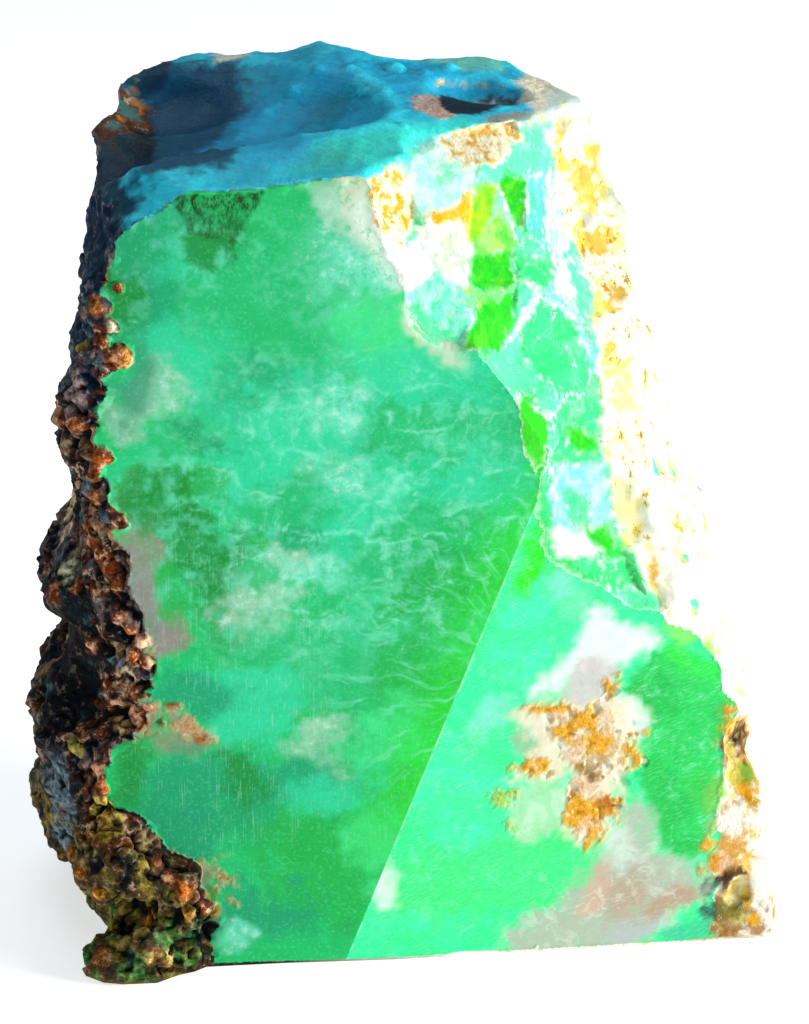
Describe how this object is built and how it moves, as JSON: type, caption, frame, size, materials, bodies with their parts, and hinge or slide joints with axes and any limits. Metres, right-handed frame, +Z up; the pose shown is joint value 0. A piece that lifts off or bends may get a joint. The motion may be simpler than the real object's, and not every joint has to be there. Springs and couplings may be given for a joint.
{
  "type": "chrysoprase specimen",
  "caption": "Free-standing piece of green chrysoprase with sawn front faces, a broken shoulder, a shell-fractured top and a pitted, rust-stained rind, resting on a sawn base.",
  "frame": {"origin": "middle of the bounding box, at the height of the sawn base", "axes": "+Z up from the base, -Y out of the large sawn face, +X to the right of someone looking at that face"},
  "size_m": [0.0914, 0.0592, 0.1025],
  "materials": {
    "chrysoprase": "satin"
  },
  "bodies": {
    "root": {"chrysoprase_stone": "chrysoprase"}
  },
  "joints": []
}
